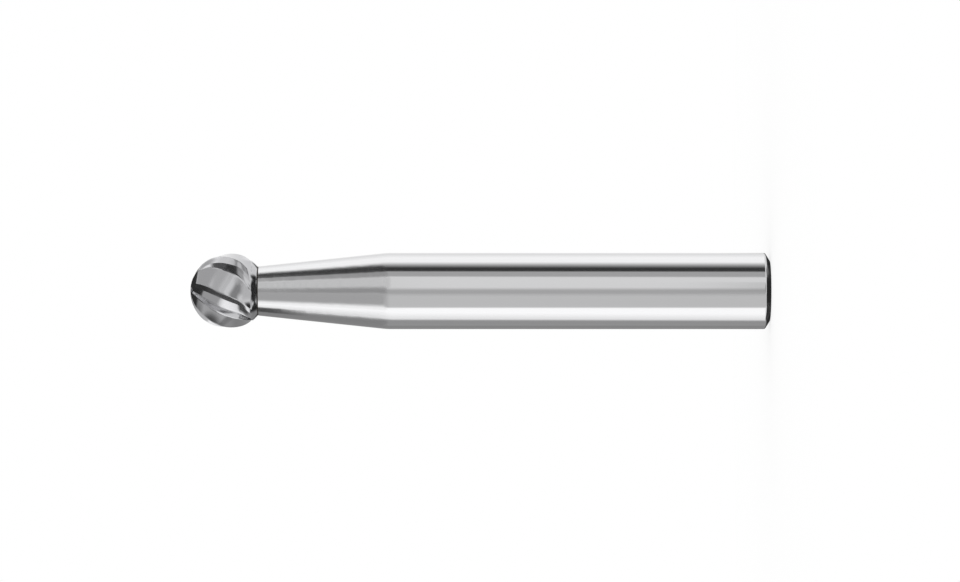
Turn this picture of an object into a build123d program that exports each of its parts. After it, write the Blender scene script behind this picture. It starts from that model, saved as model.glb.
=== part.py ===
from build123d import *
from math import asin, cos, degrees, radians, sin, sqrt, tan
import os

# A ball-nosed carbide burr, standing on its shank: the tool axis is +Z, the origin is
# the centre of the shank's end face, and the ball is on top. Millimetres and degrees.

# Driving dimensions
shank_diameter = 6.0
overall_length = 45.6
end_flat_diameter = 4.7  # flat centre of the shank's end face
end_bevel_height = 0.4
end_bevel_blend = 0.35  # softens both corners of the end bevel

ball_diameter = 6.0
head_length = 5.3  # apex of the ball to its brazed back face
neck_diameter = 3.88
neck_half_angle = 6.0
neck_blend = 8.0  # radius where the cylinder runs into the neck
braze_thickness = 0.08
braze_recess = 0.03  # the seam's rim lies this far under the neck

tooth_count = 5
helix_angle = 25.0  # of the cutting edges, right hand
front_edge_angle = -58.0  # direction of one cutting edge at the equator, from +X
exit_turn = 19.0  # extra turn of the flutes where they leave the back of the ball
exit_latitude = -14.0  # where that turn begins
exit_bend = 1.6  # how gently it begins: 1 would be a kink
flute_end_latitude = -44.0  # behind this the ball is plain
point_overshoot = 0.012  # leaves an unrelieved strip of ball behind each cutting edge
heel_angle = 38.5  # from the cutting edge back to the heel of the land
wall_angle = 49.0  # from the cutting edge back to the foot of the heel wall
rake_hook = 2.0  # degrees that a rake face is cut in under its edge, per millimetre
gullet_depth = 0.50  # under the cutting edge, at the equator
foot_depth = 0.39  # at the foot of the heel wall
heel_depth = 0.08  # relief of the land at its heel
floor_fall = 0.085  # how the floor falls behind the equator, per millimetre squared
tip_depth = 0.12  # of the gullets where they meet at the apex
core_radius = 0.05  # least radius of the floor, at the very apex
tip_radius = 0.2  # of the small web at the apex
star_spread = 1.002  # the teeth are drawn this much taller than the ball that trims them

# Worked out from them
ball_radius = ball_diameter / 2
shank_radius = shank_diameter / 2
neck_radius = neck_diameter / 2
ball_centre = overall_length - ball_radius
head_back = overall_length - head_length
back_radius = sqrt(ball_radius**2 - (ball_centre - head_back) ** 2)
neck_top = head_back - braze_thickness
neck_length = (shank_radius - neck_radius) / tan(radians(neck_half_angle))
neck_start = neck_top - neck_length
pitch_angle = 360 / tooth_count

os.makedirs("parts", exist_ok=True)


# --- steel shank: turned in one piece, ground all over ---
with BuildPart() as steel_shank:
    with BuildSketch(Plane.XZ) as shank_section:
        with BuildLine():
            Polyline(
                (0, 0),
                (end_flat_diameter / 2, 0),
                (shank_radius, end_bevel_height),
                (shank_radius, neck_start),
                (neck_radius, neck_top),
                (0, neck_top),
                (0, 0),
            )
        make_face()
        end_corners = shank_section.vertices().filter_by_position(
            Axis.X, end_flat_diameter / 2, shank_radius
        ).sort_by(Axis.Y)[:2]
        fillet(end_corners, radius=end_bevel_blend)
        neck_corner = shank_section.vertices().filter_by_position(
            Axis.Y, neck_start, neck_start
        )
        fillet(neck_corner, radius=neck_blend)
    revolve(axis=Axis.Z)
steel_shank.part.label = "steel_shank"


# --- silver braze: the thin layer that holds the head on the shank ---
with BuildPart() as braze_seam:
    with BuildSketch(Plane.XZ):
        with BuildLine():
            Polyline(
                (neck_radius, neck_top),
                (0, neck_top),
                (0, head_back),
                (neck_radius, head_back),
            )
            ThreePointArc(
                (neck_radius, head_back),
                (neck_radius - braze_recess, (neck_top + head_back) / 2),
                (neck_radius, neck_top),
            )
        make_face()
    revolve(axis=Axis.Z)
braze_seam.part.label = "braze_seam"


def edge_direction(latitude):
    """Angle of the cutting edge about the axis, at a latitude of the ball."""
    past_exit = max(0.0, exit_latitude - latitude) / (exit_latitude - flute_end_latitude)
    turn = tan(radians(helix_angle)) * latitude
    return front_edge_angle + turn - exit_turn * past_exit**exit_bend


def floor_radius(height, depth):
    """Radius of a gullet floor that is this deep at the equator: an ellipse towards the
    apex, and nearly straight towards the neck, so that the flute runs out."""
    if height < 0:
        return ball_radius - depth - floor_fall * height**2
    rise = max(0.0, 1 - (height / (ball_radius - tip_depth)) ** 2)
    return max((ball_radius - depth) * sqrt(rise), core_radius)


def polar(radius, angle):
    return (radius * cos(radians(angle)), radius * sin(radians(angle)))


def tooth_corners(latitude, edge):
    """One tooth's outline at a latitude, from its heel's foot round to its edge and down
    its rake face: foot of the heel wall, heel, point of the edge, root."""
    height = ball_radius * sin(radians(latitude))
    rim = max(ball_radius * cos(radians(latitude)), tip_radius)
    floor = floor_radius(height, gullet_depth)
    foot = floor_radius(height, foot_depth)
    heel = rim - (rim - foot) * heel_depth / foot_depth
    point = rim * (1 + point_overshoot)
    return [
        polar(foot, edge - wall_angle),
        polar(heel, edge - heel_angle),
        polar(point, edge + rake_hook * (point - rim)),
        polar(floor, edge - rake_hook * (rim - floor)),
    ]


# --- carbide head: a ball, held within a twisted star that gives its teeth ---
star_latitudes = [-50, -42, -34, -25, -13, 0, 12, 24, 36, 48, 60, 70, 80, 90]

with BuildPart(mode=Mode.PRIVATE) as tooth_star:
    for latitude in star_latitudes:
        height = star_spread * ball_radius * sin(radians(latitude))
        outline = []
        for tooth in range(tooth_count):
            outline += tooth_corners(latitude, edge_direction(latitude) + tooth * pitch_angle)
        with BuildSketch(Plane.XY.offset(ball_centre + height)):
            with BuildLine():
                Polyline(*outline, close=True)
            make_face()
    loft()

with BuildPart() as carbide_head:
    with BuildSketch(Plane.XZ):
        with BuildLine():
            CenterArc(
                (0, ball_centre),
                ball_radius,
                -degrees(asin((ball_centre - head_back) / ball_radius)),
                90 + degrees(asin((ball_centre - head_back) / ball_radius)),
            )
            Polyline((0, overall_length), (0, head_back), (back_radius, head_back))
        make_face()
    revolve(axis=Axis.Z)
    add(tooth_star.part, mode=Mode.INTERSECT)
carbide_head.part.label = "carbide_head"

for piece in (steel_shank, braze_seam, carbide_head):
    export_step(piece.part, f"parts/{piece.part.label}.step")
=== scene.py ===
import math

import bpy
from mathutils import Matrix, Vector


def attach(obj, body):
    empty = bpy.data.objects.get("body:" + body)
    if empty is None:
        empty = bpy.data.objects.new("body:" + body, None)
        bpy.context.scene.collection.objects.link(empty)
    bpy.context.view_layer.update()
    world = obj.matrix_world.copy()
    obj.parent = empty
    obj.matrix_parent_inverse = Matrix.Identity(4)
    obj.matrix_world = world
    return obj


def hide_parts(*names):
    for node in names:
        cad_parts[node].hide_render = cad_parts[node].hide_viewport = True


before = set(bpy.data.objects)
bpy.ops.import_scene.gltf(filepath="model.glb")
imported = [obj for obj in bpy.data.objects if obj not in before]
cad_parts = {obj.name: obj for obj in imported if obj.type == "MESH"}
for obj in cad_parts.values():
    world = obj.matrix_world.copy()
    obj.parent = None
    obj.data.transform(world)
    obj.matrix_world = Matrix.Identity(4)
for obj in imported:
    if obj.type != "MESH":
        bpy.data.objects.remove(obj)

mm = 0.001
tiny = 1e-6  # mm, under which two points are one
scene = bpy.context.scene
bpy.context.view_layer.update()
print("frame loaded:", sorted(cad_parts))

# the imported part's main sizes in millimetres, heights measured up the tool axis
places = {
    "shankRadius": 3.0,
    "taperStart": 30.135,  # end of the plain cylinder
    "neckTop": 40.22,      # under the braze
    "neckRadius": 1.94,
    "headBack": 40.3,      # brazed face of the head
    "ballCentre": 42.6,
    "ballRadius": 3.0,
}


def linear(hexColour):
    # sRGB hex to the linear colour that shaders take
    parts = [int(hexColour[i:i + 2], 16) / 255 for i in (1, 3, 5)]
    return [p / 12.92 if p <= 0.04045 else ((p + 0.055) / 1.055) ** 2.4 for p in parts] + [1.0]


def newMaterial(name):
    material = bpy.data.materials.new(name)
    material.use_nodes = True
    material.node_tree.nodes.clear()
    return material, material.node_tree


def addNode(tree, kind, settings=None, links=None):
    # settings are the node's own options or unlinked inputs, links are inputs fed by a socket
    node = tree.nodes.new(kind)
    for key, value in (settings or {}).items():
        if isinstance(key, str) and hasattr(node, key):
            setattr(node, key, value)
        else:
            node.inputs[key].default_value = value
    for key, socket in (links or {}).items():
        tree.links.new(socket, node.inputs[key])
    return node


fineDetail = 3.0  # octaves of noise in a grinding mark or a grain
slowDetail = 1.0  # and in a slow unevenness


def groundSteel(name, look):
    # hardened tool steel ground all over: bright metal with fine wheel marks round it
    material, tree = newMaterial(name)
    place = addNode(tree, "ShaderNodeTexCoord")
    ringScale = (look["aroundScale"], look["aroundScale"], 1 / (look["ringSpacing"] * mm))
    ringPlace = addNode(tree, "ShaderNodeMapping", {"Scale": ringScale},
                        {"Vector": place.outputs["Object"]})
    rings = addNode(tree, "ShaderNodeTexNoise", {"Scale": 1.0, "Detail": fineDetail},
                    {"Vector": ringPlace.outputs[0]})
    waves = addNode(tree, "ShaderNodeTexNoise",
                    {"Scale": 1 / (look["waveLength"] * mm), "Detail": slowDetail},
                    {"Vector": place.outputs["Object"]})
    waveBump = addNode(tree, "ShaderNodeBump", {"Strength": 1.0, "Distance": look["waveDepth"] * mm},
                       {"Height": waves.outputs["Fac"]})
    ringBump = addNode(tree, "ShaderNodeBump", {"Strength": 1.0, "Distance": look["ringDepth"] * mm},
                       {"Height": rings.outputs["Fac"], "Normal": waveBump.outputs[0]})
    metal = addNode(tree, "ShaderNodeBsdfPrincipled",
                    {"Base Color": linear(look["colour"]), "Metallic": 1.0, "Roughness": look["roughness"]},
                    {"Normal": ringBump.outputs[0]})
    addNode(tree, "ShaderNodeOutputMaterial", {}, {"Surface": metal.outputs[0]})
    return material


# centreless ground: even and smooth, its bands of light almost straight
cylinderLook = {
    "colour": "#CFCFD0",
    "roughness": 0.10,
    "aroundScale": 60,     # per metre across the axis: low, so that each mark runs on round it
    "ringSpacing": 0.05,   # mm between wheel marks, drawn at twice the real grit's width
    "ringDepth": 0.00002,  # mm
    "waveLength": 1.6,     # mm, slow unevenness that makes the bands waver
    "waveDepth": 0.0006,   # mm
}

# plunge ground with a coarser wheel: rings that can be seen, and bands with ragged edges
taperLook = {
    "colour": "#CFCFD0",
    "roughness": 0.13,
    "aroundScale": 500,  # higher, so that a mark comes and goes round the taper
    "ringSpacing": 0.3,  # mm, drawn several times coarser than real marks
    "ringDepth": 0.002,
    "waveLength": 0.8,
    "waveDepth": 0.009,
}


def groundCarbide():
    # sintered tungsten carbide, ground with diamond: a greyer, slightly duller mirror than
    # the steel, with fine streaks along the flutes
    look = {
        "colour": "#C3C3C5",
        "roughness": 0.12,
        "streakWidth": 0.04,    # mm across a flute, about twice a real diamond scratch
        "streakLength": 1.2,    # mm along it
        "streakDepth": 0.0004,  # mm
    }
    material, tree = newMaterial("groundCarbide")
    place = addNode(tree, "ShaderNodeUVMap", {"uv_map": "alongFlute"})
    streakPlace = addNode(tree, "ShaderNodeMapping",
                          {"Scale": (1 / look["streakLength"], 1 / look["streakWidth"], 1)},
                          {"Vector": place.outputs[0]})
    streaks = addNode(tree, "ShaderNodeTexNoise", {"Scale": 1.0, "Detail": fineDetail},
                      {"Vector": streakPlace.outputs[0]})
    bump = addNode(tree, "ShaderNodeBump", {"Strength": 1.0, "Distance": look["streakDepth"] * mm},
                   {"Height": streaks.outputs["Fac"]})
    metal = addNode(tree, "ShaderNodeBsdfPrincipled",
                    {"Base Color": linear(look["colour"]), "Metallic": 1.0, "Roughness": look["roughness"]},
                    {"Normal": bump.outputs[0]})
    addNode(tree, "ShaderNodeOutputMaterial", {}, {"Surface": metal.outputs[0]})
    return material


def oxidisedBraze():
    # silver braze that has been through the torch: dark and dull, with a faint grain
    look = {
        "colour": "#6A655F",
        "darkColour": "#2E2C2A",
        "roughness": 0.45,
        "grain": 0.12,      # mm
        "darkBelow": 0.35,  # of the grain's noise
        "paleAbove": 0.65,
    }
    material, tree = newMaterial("oxidisedBraze")
    place = addNode(tree, "ShaderNodeTexCoord")
    grain = addNode(tree, "ShaderNodeTexNoise",
                    {"Scale": 1 / (look["grain"] * mm), "Detail": fineDetail},
                    {"Vector": place.outputs["Object"]})
    tint = addNode(tree, "ShaderNodeValToRGB", {}, {"Fac": grain.outputs["Fac"]})
    tint.color_ramp.elements[0].color = linear(look["darkColour"])
    tint.color_ramp.elements[1].color = linear(look["colour"])
    tint.color_ramp.elements[0].position = look["darkBelow"]
    tint.color_ramp.elements[1].position = look["paleAbove"]
    metal = addNode(tree, "ShaderNodeBsdfPrincipled", {"Metallic": 1.0, "Roughness": look["roughness"]},
                    {"Base Color": tint.outputs["Color"]})
    addNode(tree, "ShaderNodeOutputMaterial", {}, {"Surface": metal.outputs[0]})
    return material


def newPiece(name, points, faces, material, uvOfCorner=None, sharpAngle=25):
    # points are in millimetres; edges that turn by more than sharpAngle degrees stay crisp
    mesh = bpy.data.meshes.new(name)
    mesh.from_pydata([[c * mm for c in p] for p in points], [], faces)
    if uvOfCorner:
        layer = mesh.uv_layers.new(name="alongFlute")
        for corner, uv in zip(layer.data, uvOfCorner):
            corner.uv = uv
    mesh.materials.append(material)
    mesh.shade_smooth()
    mesh.set_sharp_from_angle(angle=math.radians(sharpAngle))
    piece = bpy.data.objects.new(name, mesh)
    scene.collection.objects.link(piece)
    return piece


# the carbide head, in millimetres and degrees; latitudes are those of the ball
head = {
    "teeth": 5,
    "helixAngle": 25.0,      # right hand
    "frontEdge": -58.0,      # direction of one cutting edge at the equator, from +X
    "exitTurn": 19.0,        # extra turn where the flutes leave the back of the ball
    "exitLatitude": -14.0,   # where that turn begins
    "exitBend": 1.6,         # how gently it begins: 1 would be a kink
    "fluteEnd": -44.0,       # where it has grown to exitTurn
    "pointOvershoot": 0.012,  # leaves an unrelieved strip of ball behind each cutting edge
    "heelAngle": 38.5,       # from the cutting edge back to the heel of the land
    "wallAngle": 49.0,       # from the cutting edge back to the foot of the heel wall
    "rakeHook": -9.0,        # degrees per mm of depth; below 0 the root stands ahead of its edge
    "gulletDepth": 0.50,     # under the cutting edge, at the equator
    "footDepth": 0.39,       # at the foot of the heel wall
    "heelDepth": 0.08,       # relief of the land at its heel
    "floorFall": 0.055,      # how the floor falls behind the equator, per mm squared
    "plainLatitude": -37.5,  # behind this the floors climb out and leave the ball plain
    "plainRise": 0.015,      # share by which the whole outline grows there, per degree squared
    "tipDepth": 0.12,        # of the gullets where they meet at the apex
    "coreRadius": 0.05,      # least radius of the floor, at the very apex
    "tipRadius": 0.2,        # of the small web at the apex
    "rounds": {"rake": 0.012, "land": 0.03, "heel": 0.05, "foot": 0.05, "root": 0.03},
    "roundsFade": 1.3,       # they shrink once the rim, times this, is less than the ball's radius
    "steps": {"rake": 1, "land": 10, "heel": 3, "foot": 6, "root": 5},  # between two corners
    "rows": 230,
    "topLatitude": 88.8,     # of the last row, just off the apex
}


def polar(radius, angle):
    return Vector((radius * math.cos(math.radians(angle)), radius * math.sin(math.radians(angle))))


def edgeDirection(latitude):
    # angle of the first cutting edge about the axis
    past = max(0.0, head["exitLatitude"] - latitude) / (head["exitLatitude"] - head["fluteEnd"])
    turn = math.tan(math.radians(head["helixAngle"])) * latitude
    return head["frontEdge"] + turn - head["exitTurn"] * past ** head["exitBend"]


def floorRadius(height, depth):
    # of a gullet floor: an ellipse towards the apex, nearly straight towards the neck
    radius = places["ballRadius"]
    if height < 0:
        return radius - depth - head["floorFall"] * height ** 2
    rise = max(0.0, 1 - (height / (radius - head["tipDepth"])) ** 2)
    return max((radius - depth) * math.sqrt(rise), head["coreRadius"])


def crossing(inner, outer, radius):
    # where the line from inner to outer passes a circle about the axis
    step = outer - inner
    a = step.dot(step)
    b = 2 * inner.dot(step)
    c = inner.dot(inner) - radius ** 2
    root = max(b * b - 4 * a * c, 0.0)
    share = (-b + math.sqrt(root)) / (2 * a)
    return inner + step * min(max(share, 0.0), 1.0)


def blend(start, corner, end, t):
    # a point on the curve that rounds a corner, from its start at 0 to its end at 1
    return start * (1 - t) ** 2 + corner * (2 * t * (1 - t)) + end * t ** 2


cornerSteps = 3      # along each rounded corner of a tooth
longestCut = 0.4     # share of a side that a rounded corner may take
leastTangent = 0.05  # keeps the round of a nearly flat corner short


def roundedRun(corners, radii, steps):
    # a closed run of straight stretches with its corners rounded, always in as many points
    run = []
    count = len(corners)
    cuts = []
    for i, corner in enumerate(corners):
        before = corners[i - 1] - corner
        after = corners[(i + 1) % count] - corner
        shorter = min(before.length, after.length)
        half = before.angle(after) / 2 if shorter > tiny else math.pi / 2
        setback = min(radii[i] / max(math.tan(half), leastTangent), longestCut * shorter)
        cuts.append((corner + before.normalized() * setback, corner + after.normalized() * setback))
    for i, corner in enumerate(corners):
        start, end = cuts[i]
        for k in range(cornerSteps + 1):
            run.append(blend(start, corner, end, k / cornerSteps))
        nextStart = cuts[(i + 1) % count][0]
        for k in range(1, steps[i]):
            run.append(end.lerp(nextStart, k / steps[i]))
    return run


def headRow(latitude):
    # one ring of points round the head, tooth after tooth: top of the rake face, end of the
    # unrelieved strip, heel, foot of the heel wall, and root of the next tooth's rake face
    radius = places["ballRadius"]
    height = radius * math.sin(math.radians(latitude))
    ballRim = radius * math.cos(math.radians(latitude))
    rim = max(ballRim, head["tipRadius"])
    floor = floorRadius(height, head["gulletDepth"])
    foot = floorRadius(height, head["footDepth"])
    heel = rim - (rim - foot) * head["heelDepth"] / head["footDepth"]
    point = rim * (1 + head["pointOvershoot"])
    climb = 1 + head["plainRise"] * max(0.0, head["plainLatitude"] - latitude) ** 2
    floor, foot, heel, point = floor * climb, foot * climb, heel * climb, point * climb
    pitch = 360 / head["teeth"]
    corners = []
    radii = []
    steps = []
    shrink = min(1.0, rim / radius * head["roundsFade"])
    hook = head["rakeHook"] * (rim - floor)
    for tooth in range(head["teeth"]):
        edge = edgeDirection(latitude) - tooth * pitch
        root = polar(floor, edge - hook)
        tip = polar(point, edge + head["rakeHook"] * (point - rim))
        heelPoint = polar(heel, edge - head["heelAngle"])
        footPoint = polar(foot, edge - head["wallAngle"])
        nextRoot = polar(floor, edge - pitch - hook)
        rakeTop = crossing(root, tip, rim) if floor < rim else tip
        landStart = crossing(heelPoint, tip, rim) if heel < rim else tip
        corners += [rakeTop, landStart, heelPoint, footPoint, nextRoot]
        radii += [size * shrink for size in head["rounds"].values()]
        steps += head["steps"].values()
    run = roundedRun(corners, radii, steps)
    lift = Vector((0, 0, places["ballCentre"] + height))
    return [(p * min(1.0, ballRim / p.length)).to_3d() + lift for p in run]


def makeHead(material):
    # rows of points from the brazed face up to the apex, closed by a fan at each end
    behind = (places["ballCentre"] - places["headBack"]) / places["ballRadius"]
    back = -math.degrees(math.asin(behind))
    rows = []
    for i in range(head["rows"] + 1):
        rows.append(headRow(back + (head["topLatitude"] - back) * i / head["rows"]))
    around = len(rows[0])
    points = [p for row in rows for p in row]
    faces = []
    uvs = []
    for i in range(head["rows"]):
        for k in range(around):
            n = (k + 1) % around
            faces.append((i * around + n, i * around + k, (i + 1) * around + k, (i + 1) * around + n))
    # lengths along and across the flutes, in millimetres, for the grinding streaks; those
    # across are measured on the row nearest the equator, a third of the way up
    widest = rows[head["rows"] // 3]
    across = [0.0]
    for k in range(around):
        across.append(across[-1] + (widest[(k + 1) % around] - widest[k]).length)
    along = [0.0]
    for i in range(head["rows"]):
        along.append(along[-1] + (rows[i + 1][0] - rows[i][0]).length)
    for i in range(head["rows"]):
        for k in range(around):
            uvs += [(along[i], across[k + 1]), (along[i], across[k]),
                    (along[i + 1], across[k]), (along[i + 1], across[k + 1])]
    points.append(Vector((0, 0, places["ballCentre"] + places["ballRadius"])))
    apex = len(points) - 1
    last = head["rows"] * around
    for k in range(around):
        faces.append((last + (k + 1) % around, last + k, apex))
        uvs += [(along[-1], 0)] * 3
    points.append(Vector((0, 0, places["headBack"])))
    hub = len(points) - 1
    for k in range(around):
        faces.append((k, (k + 1) % around, hub))
        uvs += [(0, 0)] * 3
    return newPiece("carbideHead", points, faces, material, uvs)


# the steel shank, in millimetres
shank = {
    "endFlatRadius": 2.35,
    "endRing": 1.0,      # radius of one more ring on the end face, against long thin triangles
    "bevelHeight": 0.4,
    "bevelBlend": 0.22,  # softens both corners of the end bevel
    "bevelSteps": 10,
    "taperBlend": 8.0,   # where the cylinder runs into the neck
    "taperSteps": 8,
    "around": 192,       # points round it
}


def turnedPiece(name, profile, around, material, sharpAngle=30):
    # spins an outline of (radius, height) points about the tool axis; both ends lie on the axis
    points = []
    faces = []
    rings = []
    for radius, height in profile:
        if radius < tiny:
            rings.append([len(points)] * around)
            points.append((0, 0, height))
            continue
        start = len(points)
        rings.append(list(range(start, start + around)))
        for k in range(around):
            turn = 2 * math.pi * k / around
            points.append((radius * math.cos(turn), radius * math.sin(turn), height))
    for low, high in zip(rings, rings[1:]):
        for k in range(around):
            n = (k + 1) % around
            face = [low[k], low[n], high[n], high[k]]
            faces.append([c for j, c in enumerate(face) if c != face[j - 1]])
    return newPiece(name, points, faces, material, sharpAngle=sharpAngle)


def blendedCorner(before, corner, after, radius, steps):
    # the curve that rounds one corner of an outline, set back as an arc of this radius would be
    a = (Vector(before) - Vector(corner)).normalized()
    b = (Vector(after) - Vector(corner)).normalized()
    setback = radius / math.tan(a.angle(b) / 2)
    start = Vector(corner) + a * setback
    end = Vector(corner) + b * setback
    return [blend(start, Vector(corner), end, k / steps) for k in range(steps + 1)]


def makeShank(materials):
    # materials are those of the cylinder and of the taper
    radius = places["shankRadius"]
    corners = [
        (0, 0),
        (shank["endFlatRadius"], 0),
        (radius, shank["bevelHeight"]),
        (radius, places["taperStart"]),
        (places["neckRadius"], places["neckTop"]),
        (0, places["neckTop"]),
    ]
    profile = [corners[0], (shank["endRing"], 0)]
    profile += blendedCorner(*corners[0:3], shank["bevelBlend"], shank["bevelSteps"])
    profile += blendedCorner(*corners[1:4], shank["bevelBlend"], shank["bevelSteps"])
    profile += blendedCorner(*corners[2:5], shank["taperBlend"], shank["taperSteps"])
    profile += [corners[4], corners[5]]
    piece = turnedPiece("steelShank", [tuple(p) for p in profile], shank["around"], materials[0])
    piece.data.materials.append(materials[1])
    for face in piece.data.polygons:
        face.material_index = int(face.center.z > places["taperStart"] * mm)
    return piece


headPiece = makeHead(groundCarbide())
print("head made:", len(headPiece.data.polygons), "faces")
cylinderSteel = groundSteel("centrelessGroundSteel", cylinderLook)
taperSteel = groundSteel("plungeGroundSteel", taperLook)
shankPiece = makeShank([cylinderSteel, taperSteel])
print("shank made:", len(shankPiece.data.polygons), "faces")
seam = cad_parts["braze_seam"]
seam.data.materials[0] = oxidisedBraze()

for piece, node, slot in (
    (headPiece, "carbide_head", "ground_carbide"),
    (shankPiece, "steel_shank", "ground_steel"),
):
    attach(piece, "root")
    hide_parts(node)


# Each card hangs round the tool: facing is its direction about the tool axis, 0 at the camera
# and 90 along +X, rise is its angle towards the ball's end, and soft is the width of its
# blurred edges: left, right, low, high. All are in degrees. lean, where a card has one, is how
# far its facing shifts for each degree of rise, and tone is its brightness beside the white
# room's 1. A card further down the list hangs nearer, in front of those above it. The last has
# a distance of its own, in metres, and its own height for a rise of 0, in millimetres.
studio = {
    "distance": 0.60,  # m from the tool to the first card
    "step": 0.01,      # m that each next card hangs nearer
    "strips": 14,      # across the even part of a card, and up it
    "cards": [
        {"name": "benchCard", "facing": (-184, -92), "rise": (-60, 70), "tone": 0.60,
         "soft": (8, 8, 20, 10)},
        {"name": "benchShade", "facing": (-184, -92), "rise": (-60, 14), "tone": 0.42,
         "soft": (8, 8, 20, 5)},
        {"name": "benchCorner", "facing": (-186, -128), "rise": (-60, 12), "tone": 0.33,
         "soft": (8, 8, 20, 5)},
        {"name": "benchEdge", "facing": (-184, -98), "rise": (3, 15), "tone": 0.31, "soft": (8, 8, 3, 4)},
        {"name": "keySoftbox", "facing": (78, 148), "rise": (-16, 50), "tone": 1.4, "soft": (18, 28, 8, 8)},
        {"name": "paleCard", "facing": (-56, -6), "rise": (-60, 16), "tone": 0.77, "soft": (4, 8, 10, 8)},
        {"name": "ceilingShade", "facing": (2, 60), "rise": (4, 80), "tone": 0.82, "soft": (5, 8, 8, 8)},
        {"name": "ceilingLow", "facing": (6, 46), "rise": (1, 11), "tone": 0.80, "soft": (6, 6, 3, 4)},
        {"name": "ceilingDim", "facing": (2, 48), "rise": (14, 60), "tone": 0.66, "soft": (6, 8, 8, 8)},
        {"name": "ceilingFar", "facing": (2, 150), "rise": (41, 84), "tone": 0.58, "soft": (8, 8, 7, 4)},
        {"name": "farShade", "facing": (-92, 6), "rise": (3, 84), "tone": 0.53, "soft": (8, 8, 8, 5)},
        {"name": "fillLeft", "facing": (-97, -72), "rise": (-30, 31), "lean": 0.5,
         "tone": 1.52, "soft": (6, 4, 12, 14)},
        {"name": "fillSoftbox", "facing": (-86, -50), "rise": (-30, 31), "tone": 1.52,
         "soft": (4, 4, 12, 14)},
        {"name": "fillSide", "facing": (-62, -41), "rise": (5, 20), "tone": 1.35, "soft": (3, 12, 4, 5)},
        {"name": "fillEdge", "facing": (-101.6, -69), "rise": (-30, 30), "lean": 0.5,
         "tone": 1.15, "soft": (11, 24, 12, 14)},
        {"name": "greyCard", "facing": (42.8, 70), "rise": (-22, 16), "lean": 0.2,
         "tone": 0.54, "soft": (3, 4, 8, 4)},
        {"name": "greyCardTop", "facing": (42, 70), "rise": (4, 17), "lean": 0.1,
         "tone": 0.42, "soft": (3, 4, 4, 3)},
        {"name": "blackFlag", "facing": (60.1, 99.3), "rise": (-22, 18), "lean": 0.12,
         "tone": 0.05, "soft": (3, 25, 10, 4)},
        {"name": "flagNeck", "facing": (61, 94), "rise": (6, 17), "tone": 0.045, "soft": (3, 14, 3, 3)},
        {"name": "flagTop", "facing": (48, 77), "rise": (11, 46), "lean": 1.3,
         "tone": 0.10, "soft": (6, 10, 6, 10)},
        {"name": "cameraBody", "facing": (-16, 11), "rise": (-16, 20), "tone": 0.57, "soft": (9, 9, 5, 4)},
        {"name": "lensHood", "facing": (-8, 16), "rise": (5, 18), "tone": 0.39, "soft": (4, 10, 4, 3)},
        {"name": "cameraStand", "facing": (-14, 28), "rise": (-44, -8), "tone": 0.36,
         "soft": (14, 12, 14, 8)},
        {"name": "darkGap", "facing": (-105, -80), "rise": (11, 60), "tone": 0.05, "soft": (5, 5, 7, 8)},
        {"name": "darkGapSide", "facing": (-118, -100), "rise": (22, 40), "tone": 0.36,
         "soft": (6, 6, 6, 6)},
        {"name": "darkGapTop", "facing": (-184, -82), "rise": (46, 88), "tone": 0.05,
         "soft": (10, 6, 8, 2)},
        {"name": "darkCorner", "facing": (147, 214), "rise": (12, 88), "tone": 0.04, "soft": (5, 8, 6, 2)},
        {"name": "darkFoot", "facing": (-180, 180), "rise": (-90, -61), "tone": 0.03, "soft": (0, 0, 0, 6)},
        {"name": "footSide", "facing": (-168, -98), "rise": (-66, -36), "tone": 0.03,
         "soft": (10, 8, 0, 8)},
        {"name": "footTop", "facing": (84, 156), "rise": (-74, -50), "tone": 0.03, "soft": (8, 10, 0, 6)},
        {"name": "darkBack", "facing": (152, 205), "rise": (-76, -8), "tone": 0.03, "soft": (8, 8, 0, 5)},
        {"name": "tipFlag", "facing": (-112, -76), "rise": (-10, 62), "tone": 0.09, "soft": (6, 6, 9, 8),
         "distance": 0.020, "height": places["ballCentre"]},
    ],
    "floorRadius": 0.06,  # m
    "floorStep": 5,       # degrees between the points of its rim
    "floorShadow": 0.3,   # how much of the floor's shade shows
}


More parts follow.
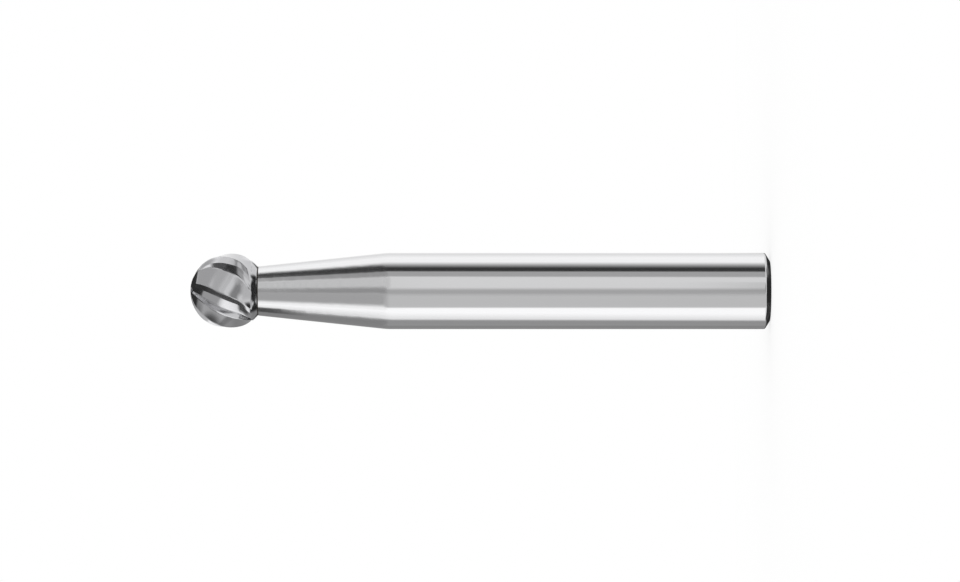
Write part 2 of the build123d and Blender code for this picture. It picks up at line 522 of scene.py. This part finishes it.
def makeCard(place, card):
    # a glowing patch of a sphere round the tool, clear at its blurred edges, seen only as a
    # reflection
    (left, right), (low, high) = card["facing"], card["rise"]
    softLeft, softRight, softLow, softHigh = card["soft"]

    def stations(start, end, softStart, softEnd):
        strips = studio["strips"]
        width = end - start - softStart - softEnd
        inner = [start + softStart + width * i / strips for i in range(strips + 1)]
        return [(start, 0.0)] * (softStart > 0) + [(s, 1.0) for s in inner] + [(end, 0.0)] * (softEnd > 0)

    across = stations(left, right, softLeft, softRight)
    up = stations(low, high, softLow, softHigh)
    distance = card.get("distance", studio["distance"] - studio["step"] * place)
    middle = card.get("height", places["taperStart"]) * mm
    points = []
    cover = []
    for rise, coverUp in up:
        for facing, coverAcross in across:
            turn = math.radians(facing + card.get("lean", 0) * rise)
            lift = math.radians(rise)
            points.append((
                distance * math.cos(lift) * math.sin(turn),
                -distance * math.cos(lift) * math.cos(turn),
                middle + distance * math.sin(lift),
            ))
            cover.append(min(coverUp, coverAcross))
    wide = len(across)
    faces = [(j * wide + i, j * wide + i + 1, (j + 1) * wide + i + 1, (j + 1) * wide + i)
             for j in range(len(up) - 1) for i in range(wide - 1)]
    mesh = bpy.data.meshes.new(card["name"])
    mesh.from_pydata(points, [], faces)
    mesh.attributes.new("cover", "FLOAT", "POINT").data.foreach_set("value", cover)
    material, tree = newMaterial(card["name"])
    coverNode = addNode(tree, "ShaderNodeAttribute", {"attribute_name": "cover"})
    clear = addNode(tree, "ShaderNodeBsdfTransparent")
    glow = addNode(tree, "ShaderNodeEmission", {"Strength": card["tone"]})
    mixed = addNode(tree, "ShaderNodeMixShader", {},
                    {0: coverNode.outputs["Fac"], 1: clear.outputs[0], 2: glow.outputs[0]})
    addNode(tree, "ShaderNodeOutputMaterial", {}, {"Surface": mixed.outputs[0]})
    mesh.materials.append(material)
    panel = bpy.data.objects.new(card["name"], mesh)
    scene.collection.objects.link(panel)
    panel.visible_camera = False
    panel.visible_diffuse = False
    panel.visible_shadow = False


def makeFloor():
    # white paper under the shank's end, left out of reflections
    mesh = bpy.data.meshes.new("floor")
    rim = []
    for angle in range(0, 360, studio["floorStep"]):
        turn = math.radians(angle)
        rim.append((studio["floorRadius"] * math.cos(turn), studio["floorRadius"] * math.sin(turn), 0))
    mesh.from_pydata(rim, [], [tuple(range(len(rim)))])
    material, tree = newMaterial("whiteFloor")
    paper = addNode(tree, "ShaderNodeBsdfDiffuse", {"Color": linear("#FFFFFF")})
    white = addNode(tree, "ShaderNodeEmission", {"Strength": 1.0})
    mixed = addNode(tree, "ShaderNodeMixShader", {0: studio["floorShadow"]},
                    {1: white.outputs[0], 2: paper.outputs[0]})
    addNode(tree, "ShaderNodeOutputMaterial", {}, {"Surface": mixed.outputs[0]})
    mesh.materials.append(material)
    floor = bpy.data.objects.new("floor", mesh)
    scene.collection.objects.link(floor)
    floor.visible_glossy = False


def makeRoom():
    # an evenly lit white room: it lights the floor, and shows between the cards
    world = bpy.data.worlds.new("whiteRoom")
    world.use_nodes = True
    world.node_tree.nodes["Background"].inputs["Color"].default_value = linear("#FFFFFF")
    world.node_tree.nodes["Background"].inputs["Strength"].default_value = 1.0
    scene.world = world


for place, card in enumerate(studio["cards"]):
    makeCard(place, card)
makeFloor()
makeRoom()
scene.view_settings.view_transform = "Standard"
print("studio lit:", len(studio["cards"]), "cards")

camera = {
    "distance": 0.4,        # m from the tool axis
    "level": 22.81,         # mm up the tool, at the picture's middle
    "pixelsPerMm": 12.704,  # at the tool axis
    "pictureWidth": 960,    # pixels
    "sensor": 36.0,         # mm wide
    "nearest": 0.01,        # m, nothing nearer is drawn
}


def makeCamera():
    # level with the tool and turned on its side, so that the ball is to the left
    lens = bpy.data.cameras.new("productCamera")
    lens.sensor_width = camera["sensor"]
    seenWidth = camera["pictureWidth"] / camera["pixelsPerMm"] * mm
    lens.lens = camera["sensor"] * camera["distance"] / seenWidth
    lens.clip_start = camera["nearest"]
    eye = bpy.data.objects.new("productCamera", lens)
    eye.matrix_world = Matrix((
        (0, 1, 0, 0),
        (0, 0, -1, -camera["distance"]),
        (-1, 0, 0, camera["level"] * mm),
        (0, 0, 0, 1),
    ))
    scene.collection.objects.link(eye)
    scene.camera = eye


makeCamera()
